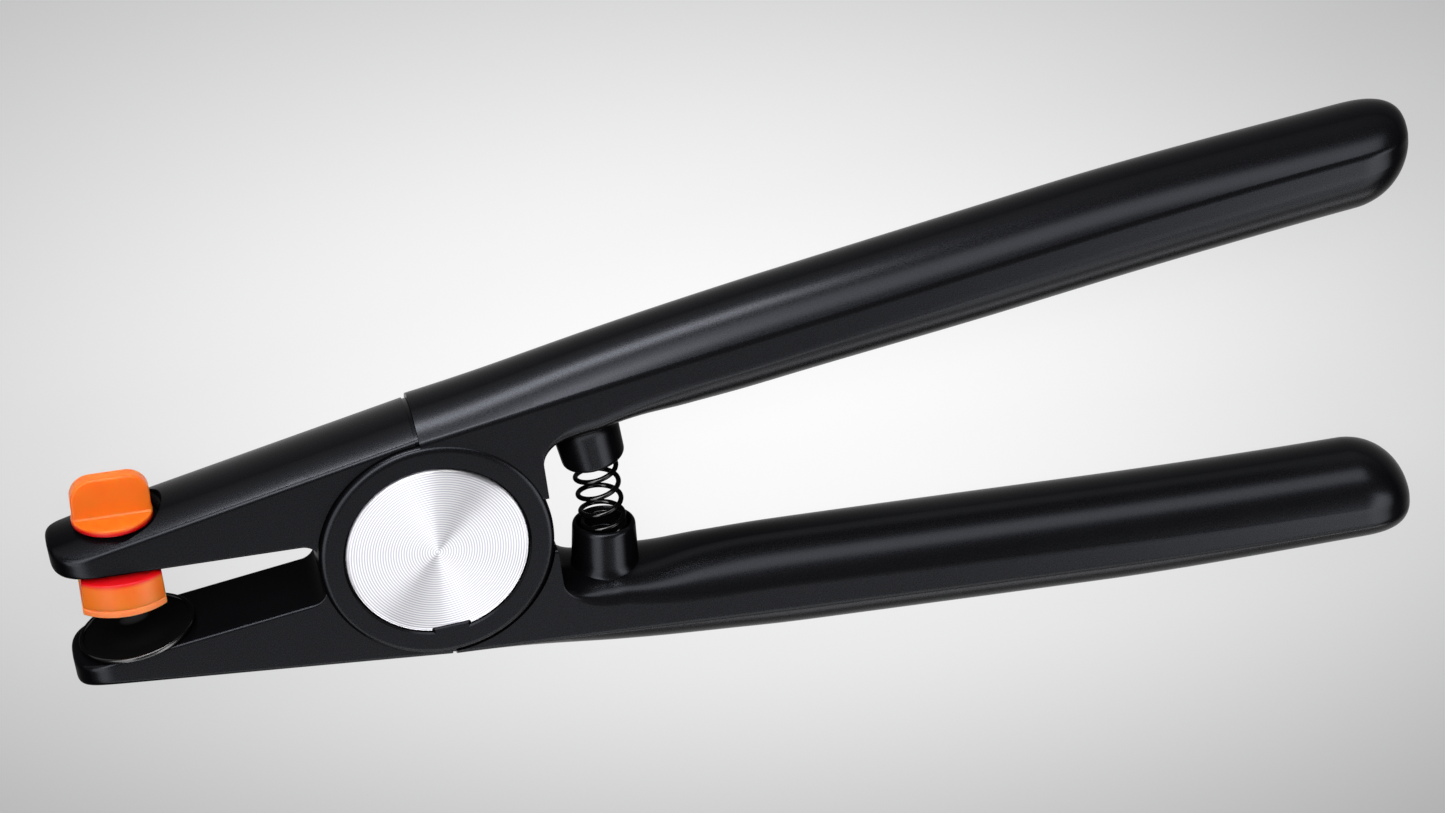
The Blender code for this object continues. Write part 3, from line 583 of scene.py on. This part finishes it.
# %% Satin black nylon
def satin_black_nylon():
    made, tree = material("satin_black_nylon")
    place = add(tree, "TexCoord").outputs["Object"]
    # The etched grain is about 0.1 mm; it is drawn at 0.25 mm so that it shows.
    grain = add(tree, "TexNoise", {"Vector": place, "Scale": 1 / (0.25 * MM), "Detail": 2.0}).outputs[0]
    flow = add(tree, "TexNoise", {"Vector": place, "Scale": 1 / (9 * MM), "Detail": 3.0}).outputs[0]
    colour = add(tree, "Mix", {0: flow, 6: tone("#060608"), 7: tone("#0b0b0d")}, data_type="RGBA").outputs[2]
    rough = add(tree, "MapRange", {0: grain, 1: 0.3, 2: 0.7, 3: 0.25, 4: 0.31}).outputs[0]
    bump = add(tree, "Bump", {"Strength": 0.14, "Distance": 0.012 * MM, "Height": grain}).outputs[0]
    # Seen at a glancing angle the etched grain shades itself, so the gloss fades towards the outline, and most
    # of all near the centre line, where no hand rubs the grain smooth.
    turned_away = add(tree, "LayerWeight", {"Blend": 0.5}).outputs["Facing"]
    across = add(tree, "SeparateXYZ", {0: place}).outputs["Y"]
    away = add(tree, "Math", {0: across}, operation="ABSOLUTE").outputs[0]
    rubbed = add(tree, "MapRange", {0: away, 1: 12.5 * MM, 2: 17 * MM, 3: 0.003, 4: 0.045}).outputs[0]
    gloss = add(tree, "MapRange", {0: turned_away, 1: 0.16, 2: 0.34, 3: 0.3, 4: rubbed}).outputs[0]
    look = {"Base Color": colour, "Roughness": rough, "Normal": bump, "IOR": 1.5, "Specular IOR Level": gloss}
    look["Specular Tint"] = tone("#e4e8f6")
    shader = add(tree, "BsdfPrincipled", look)
    add(tree, "OutputMaterial", {"Surface": shader.outputs[0]})
    return made


# %% [markdown]
# ### Turned aluminium
# A faced disc scatters light across its grooves far more than along them, so highlights stretch into wedges
# that point to the centre. The anisotropy of the shader does this, told by the disc's own UV map which way the
# grooves run, and rings of darker colour, one for each groove, are painted shade that draws the lines themselves.

# %% Turned aluminium
def turned_aluminium():
    made, tree = material("turned_aluminium")
    chart = add(tree, "UVMap", uv_map="turning").outputs[0]
    # One groove is 0.43 mm of the 15 mm radius; the wave node's bands are 2 pi / 20 apart at scale 1.
    bands = 2 * math.pi / 20 * 15.0 / GROOVE
    lines = add(tree, "TexWave", {"Vector": chart, "Scale": bands}, bands_direction="Y").outputs[1]
    place = add(tree, "TexCoord").outputs["Object"]
    stain = add(tree, "TexNoise", {"Vector": place, "Scale": 1 / (4 * MM), "Detail": 3.0}).outputs[0]
    # Painted shade: rings of a darker tone, one for each groove, draw the turning lines.
    colour = add(tree, "Mix", {0: lines, 6: tone("#c4c3d0"), 7: tone("#ffffff")}, data_type="RGBA").outputs[2]
    rough = add(tree, "MapRange", {0: stain, 1: 0.3, 2: 0.7, 3: 0.43, 4: 0.47}).outputs[0]
    way = add(tree, "Tangent", direction_type="UV_MAP", uv_map="turning").outputs[0]
    look = {"Base Color": colour, "Metallic": 1.0, "Roughness": rough, "Tangent": way}
    shader = add(tree, "BsdfPrincipled", {**look, "Anisotropic": 0.95, "Anisotropic Rotation": 0.25})
    add(tree, "OutputMaterial", {"Surface": shader.outputs[0]})
    return made


# %% [markdown]
# ### Orange acetal and its softer facing
# The head is moulded in a bright orange plastic that lets some light in, so thin edges glow and shaded places
# turn red rather than brown. Subsurface scattering with a long red reach gives that, and where the head meets the
# jaw a band of deep red is painted into the colour as painted shade. The facing on the foot is a softer, paler
# and duller moulding of the same family.

# %% Orange plastics
def orange_plastic(name, deep, bright, rough, reach):
    made, tree = material(name)
    place = add(tree, "TexCoord").outputs["Object"]
    cloud = add(tree, "TexNoise", {"Vector": place, "Scale": 1 / (5 * MM), "Detail": 2.0}).outputs[0]
    # Mould texture of about 0.1 mm, drawn at 0.2 mm so that it shows.
    grain = add(tree, "TexNoise", {"Vector": place, "Scale": 1 / (0.2 * MM), "Detail": 1.0}).outputs[0]
    colour = add(tree, "Mix", {0: cloud, 6: tone(deep), 7: tone(bright)}, data_type="RGBA").outputs[2]
    # Painted shade: next to the jaw, 1 mm under it and 0.5 mm above, a deep red is painted into the colour for the
    # shade the jaw casts on the plastic.
    height = add(tree, "VectorMath", {0: place, 1: (0.0778, 0.997, 0.0)}, operation="DOT_PRODUCT").outputs[1]
    below = add(tree, "MapRange", {0: height, 1: 2.1 * MM, 2: 2.8 * MM, 3: 0.0, 4: 1.0}).outputs[0]
    above = add(tree, "MapRange", {0: height, 1: 10.7 * MM, 2: 11.25 * MM, 3: 1.0, 4: 0.0}).outputs[0]
    painted_shade = add(tree, "Math", {0: below, 1: above}, operation="MINIMUM").outputs[0]
    colour = add(tree, "Mix", {0: painted_shade, 6: colour, 7: tone("#e0101a")}, data_type="RGBA").outputs[2]
    gloss = add(tree, "MapRange", {0: grain, 1: 0.3, 2: 0.7, 3: rough - 0.04, 4: rough + 0.04}).outputs[0]
    bump = add(tree, "Bump", {"Strength": 0.12, "Distance": 0.01 * MM, "Height": grain}).outputs[0]
    look = {"Base Color": colour, "Roughness": gloss, "Normal": bump, "IOR": 1.48, "Specular IOR Level": 0.25}
    look.update({"Subsurface Weight": 1.0, "Subsurface Radius": (1.0, 0.16, 0.04), "Subsurface Scale": reach})
    shader = add(tree, "BsdfPrincipled", look)
    add(tree, "OutputMaterial", {"Surface": shader.outputs[0]})
    return made


# %% [markdown]
# ### Black rubber and blackened wire
# Moulded rubber is duller than nylon and carries a faint bloom, a grey dusting that is a little uneven. The
# spring's wire was drawn through a die and then blackened: a hard dark skin with fine lines along its length.

# %% Rubber and wire
def black_rubber():
    made, tree = material("black_moulded_rubber")
    place = add(tree, "TexCoord").outputs["Object"]
    bloom = add(tree, "TexNoise", {"Vector": place, "Scale": 1 / (3 * MM), "Detail": 4.0}).outputs[0]
    grain = add(tree, "TexNoise", {"Vector": place, "Scale": 1 / (0.22 * MM), "Detail": 2.0}).outputs[0]
    colour = add(tree, "Mix", {0: bloom, 6: tone("#060607"), 7: tone("#0b0b0c")}, data_type="RGBA").outputs[2]
    rough = add(tree, "MapRange", {0: bloom, 1: 0.3, 2: 0.7, 3: 0.2, 4: 0.26}).outputs[0]
    bump = add(tree, "Bump", {"Strength": 0.2, "Distance": 0.012 * MM, "Height": grain}).outputs[0]
    turned_away = add(tree, "LayerWeight", {"Blend": 0.5}).outputs["Facing"]
    gloss = add(tree, "MapRange", {0: turned_away, 1: 0.23, 2: 0.4, 3: 0.9, 4: 0.002}).outputs[0]
    look = {"Base Color": colour, "Roughness": rough, "Normal": bump, "IOR": 1.52, "Specular IOR Level": gloss}
    add(tree, "OutputMaterial", {"Surface": add(tree, "BsdfPrincipled", look).outputs[0]})
    return made


def blackened_wire():
    made, tree = material("blackened_spring_wire")
    chart = add(tree, "UVMap", uv_map="turning").outputs[0]
    # Die lines are far longer than wide: 3 mm along the wire for every 0.2 mm round it.
    drawn = add(tree, "Mapping", {"Vector": chart, "Scale": (1.0, 15.0, 1.0)}).outputs[0]
    lines = add(tree, "TexNoise", {"Vector": drawn, "Scale": 1.0, "Detail": 3.0}).outputs[0]
    colour = add(tree, "Mix", {0: lines, 6: tone("#040405"), 7: tone("#09090a")}, data_type="RGBA").outputs[2]
    rough = add(tree, "MapRange", {0: lines, 1: 0.3, 2: 0.7, 3: 0.08, 4: 0.14}).outputs[0]
    bump = add(tree, "Bump", {"Strength": 0.1, "Distance": 0.01 * MM, "Height": lines}).outputs[0]
    turned_away = add(tree, "LayerWeight", {"Blend": 0.5}).outputs["Facing"]
    gloss = add(tree, "MapRange", {0: turned_away, 1: 0.05, 2: 0.24, 3: 0.5, 4: 0.002}).outputs[0]
    look = {"Base Color": colour, "Roughness": rough, "Normal": bump, "IOR": 1.6, "Specular IOR Level": gloss}
    add(tree, "OutputMaterial", {"Surface": add(tree, "BsdfPrincipled", look).outputs[0]})
    return made


# %% [markdown]
# ### Hardware
# Bolt, nut, washers, bushes and insert keep their CAD shapes, which are right, and get metal or nylon finishes.
# Turned and rolled metal shows fine lines, so a noise squeezed along Z marks both its gloss and its tone.

# %% Hardware finishes
def worked_metal(name, dark, light, rough, size):
    made, tree = material(name)
    place = add(tree, "TexCoord").outputs["Object"]
    squeezed = add(tree, "Mapping", {"Vector": place, "Scale": (1.0, 1.0, 6.0)}).outputs[0]
    marks = add(tree, "TexNoise", {"Vector": squeezed, "Scale": 1 / size, "Detail": 4.0}).outputs[0]
    colour = add(tree, "Mix", {0: marks, 6: tone(dark), 7: tone(light)}, data_type="RGBA").outputs[2]
    gloss = add(tree, "MapRange", {0: marks, 1: 0.3, 2: 0.7, 3: rough - 0.06, 4: rough + 0.06}).outputs[0]
    bump = add(tree, "Bump", {"Strength": 0.15, "Distance": 0.01 * MM, "Height": marks}).outputs[0]
    look = {"Base Color": colour, "Metallic": 1.0, "Roughness": gloss, "Normal": bump}
    add(tree, "OutputMaterial", {"Surface": add(tree, "BsdfPrincipled", look).outputs[0]})
    return made


def white_nylon():
    made, tree = material("white_bearing_nylon")
    place = add(tree, "TexCoord").outputs["Object"]
    cloud = add(tree, "TexNoise", {"Vector": place, "Scale": 1 / (1.5 * MM), "Detail": 3.0}).outputs[0]
    colour = add(tree, "Mix", {0: cloud, 6: tone("#dcd9d0"), 7: tone("#ece9e2")}, data_type="RGBA").outputs[2]
    gloss = add(tree, "MapRange", {0: cloud, 1: 0.3, 2: 0.7, 3: 0.42, 4: 0.5}).outputs[0]
    look = {"Base Color": colour, "Roughness": gloss, "IOR": 1.53}
    look.update({"Subsurface Weight": 0.2, "Subsurface Radius": (1.0, 0.8, 0.6), "Subsurface Scale": 0.6 * MM})
    add(tree, "OutputMaterial", {"Surface": add(tree, "BsdfPrincipled", look).outputs[0]})
    return made


finishes = {
    "black_polymer": satin_black_nylon(),
    "spun_aluminium": turned_aluminium(),
    "orange_plastic": orange_plastic("orange_moulded_acetal", "#e76e12", "#ed8022", 0.34, 2.2 * MM),
    "pale_orange_elastomer": orange_plastic("pale_orange_elastomer", "#ff8442", "#ff8e4e", 0.46, 1.2 * MM),
    "black_rubber": black_rubber(),
    "black_spring_steel": blackened_wire(),
    "bright_steel": worked_metal("bright_rolled_steel", "#a9aaad", "#cfd0d3", 0.3, 0.4 * MM),
    "bush_bronze": worked_metal("sintered_bronze", "#a3763f", "#c69657", 0.42, 0.25 * MM),
    "insert_brass": worked_metal("turned_brass", "#c09a45", "#dcb964", 0.32, 0.3 * MM),
    "white_nylon": white_nylon(),
}
print("finishes:", ", ".join(finishes[slot].name for slot in finishes))

# %% [markdown]
# ## Dress the model
# Each new piece stands for one CAD node, and all but the spring ride on that node's body, so they move as the CAD
# does. The spring crosses the pivot joint, so it rides on no body and stays where it is. Smooth shading with sharp
# real edges, and normals weighted by face area, keep the flat sides flat right up to their rounded edges.

# %% Pieces, bodies and finishes
pieces = [
    (lower_lever, "lower_lever", "lower_jaw_lever", "black_polymer"),
    (upper_lever, "upper_lever", "upper_jaw_lever", "black_polymer"),
    (front_disc, "lower_lever", "front_cover_disc", "spun_aluminium"),
    (back_disc, "upper_lever", "back_cover_disc", "spun_aluminium"),
    (pad, "lower_lever", "rubber_pad", "black_rubber"),
    (knob, "breaker_head", "breaker_knob", "orange_plastic"),
    (foot, "breaker_head", "breaker_foot", "orange_plastic"),
    (facing, "breaker_head", "foot_facing", "pale_orange_elastomer"),
    (spring, None, "return_spring", "black_spring_steel"),
]
for piece, body, node, slot in pieces:
    piece.data.materials.clear()
    piece.data.materials.append(finishes[slot])
    piece.data.shade_smooth()
    piece.data.set_sharp_from_angle(angle=math.radians(35))
    weighted = piece.modifiers.new("flat sides stay flat", "WEIGHTED_NORMAL")
    weighted.keep_sharp = True
    if body:
        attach(piece, body)
    else:
        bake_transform(piece)
    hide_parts(node)
for part in frame["record"]["subparts"]:
    mesh = frame["nodes"][part["node"]].data
    mesh.materials.clear()
    mesh.materials.append(finishes[part["material_slot"]])

# %% [markdown]
# ## Floor
# The floor is a pale matt sheet, brightest behind the tool and greyer all round it, like a sheet of paper with
# a lamp behind the camera. Its colour makes that fall. Rays from the camera, mirrors and clear pieces see most
# of the sheet as it is written, and the rest of it lit by the lamps, so the tool keeps a light shadow.

# %% Floor
def pale_sheet():
    made, tree = material("pale_matt_sheet")
    place = add(tree, "TexCoord").outputs["Object"]
    # An ellipse of 181 by 100 mm round the middle of the picture, over which the glow falls to 37%.
    oval = {"Location": (0.0545, 0.0044, 0.0), "Rotation": (0.0, 0.0, -0.29), "Scale": (0.1814, 0.0999, 1.0)}
    away = add(tree, "Mapping", {"Vector": place, **oval}, vector_type="TEXTURE").outputs[0]
    square = add(tree, "VectorMath", {0: away, 1: away}, operation="DOT_PRODUCT").outputs[1]
    glow = add(tree, "Math", {0: 0.3679, 1: square}, operation="POWER").outputs[0]
    colour = add(tree, "Mix", {0: glow, 6: tone("#868688"), 7: tone("#ffffff")}, data_type="RGBA").outputs[2]
    rays = add(tree, "LightPath").outputs
    seen = add(tree, "Math", {0: rays["Is Camera Ray"], 1: rays["Is Glossy Ray"]}, operation="MAXIMUM").outputs[0]
    seen = add(tree, "Math", {0: seen, 1: rays["Is Transmission Ray"]}, operation="MAXIMUM").outputs[0]
    share = add(tree, "Math", {0: seen, 1: 0.92}, operation="MULTIPLY").outputs[0]
    lit = add(tree, "BsdfDiffuse", {"Color": colour}).outputs[0]
    written = add(tree, "Emission", {"Color": colour, "Strength": 1.0}).outputs[0]
    add(tree, "OutputMaterial", {"Surface": add(tree, "MixShader", {0: share, 1: lit, 2: written}).outputs[0]})
    return made


spread = np.stack([*np.meshgrid([-3000.0, 3000.0], [-3000.0, 3000.0], indexing="ij"), np.full((2, 2), -0.86)], -1)
floor = bpy.data.objects.new("floor", skin("floor", spread, (False, False)))
bpy.context.scene.collection.objects.link(floor)
floor.data.materials.append(pale_sheet())
if floor.data.polygons[0].normal.z < 0:
    floor.data.flip_normals()

# %% [markdown]
# ## Light
# Black satin shows its lamps more than itself, so each lamp has a job. A wide box low behind the tool draws the
# soft band along the arches, and two small cards close behind draw the lights on the jaw and the hub. Boxes left
# and in front, with a strip in front, are seen by shiny surfaces alone and give the wedges on the disc. The key
# behind, the soft front box and a low strip behind light matt surfaces alone and give the orange its brightness
# and the tool its short shadow. The box behind on the left and a dim fill in front do both.

# %% Lamps and world
AIM = Vector((0.055, 0.0, 0.009))


def lamp(name, azimuth, elevation, size, brightness, lights=True, shows=True, distance=1.0):
    """Soft box aimed at the tool: brightness is what a mirror would show, so its power is pi x area x that.
    One that lights but does not show falls on matt surfaces alone, and the reverse is a card for shiny ones."""
    data = bpy.data.lights.new(name, "AREA")
    data.shape = "RECTANGLE"
    data.size, data.size_y = size
    data.energy = math.pi * size[0] * size[1] * brightness
    made = bpy.data.objects.new(name, data)
    bpy.context.scene.collection.objects.link(made)
    a, e = math.radians(azimuth), math.radians(elevation)
    way = Vector((math.cos(e) * math.cos(a), math.cos(e) * math.sin(a), math.sin(e)))
    made.location = AIM + way * distance
    made.rotation_euler = way.to_track_quat("Z", "Y").to_euler()
    made.visible_camera = False
    made.visible_diffuse, made.visible_glossy = lights, shows
    return made


lamp("key behind", 92, 53, (1.5, 0.35), 2.6, shows=False)
lamp("soft front", 275, 42, (1.0, 0.4), 3.6, shows=False)
lamp("box behind", 92, 36, (1.5, 0.46), 3.0)
lamp("strip behind", 92, 5, (1.5, 0.05), 12.0, shows=False)
lamp("card behind the jaw", 104.6, 4, (0.16, 0.05), 15.0, lights=False, distance=0.258)
lamp("card behind the hub", 110.8, 43, (0.14, 0.1), 7.0, lights=False, distance=0.323)
lamp("box left", 178, 47, (0.8, 0.7), 2.6, lights=False)
lamp("box behind left", 135, 50, (0.45, 0.45), 3.6)
lamp("box front left", 222, 46, (0.4, 0.4), 2.2, lights=False)
lamp("box front right", 332, 43, (0.75, 0.5), 3.7, lights=False)
lamp("box in front", 270, 31, (1.2, 0.36), 3.7, lights=False)
lamp("strip in front", 270, 10, (1.2, 0.2), 8.0, lights=False)
lamp("fill in front", 285, 57, (0.6, 0.3), 0.55)

world = bpy.data.worlds.new("studio")
bpy.context.scene.world = world
world.use_nodes = True
world.node_tree.nodes.clear()
path = add(world.node_tree, "LightPath").outputs["Is Camera Ray"]
seen = add(world.node_tree, "Background", {0: tone("#d6d6d8"), 1: 1.0}).outputs[0]
around = add(world.node_tree, "Background", {0: tone("#ffffff"), 1: 0.06}).outputs[0]
sky = add(world.node_tree, "MixShader", {0: path, 1: around, 2: seen}).outputs[0]
add(world.node_tree, "OutputWorld", {"Surface": sky})
bpy.context.scene.view_settings.view_transform = "Standard"
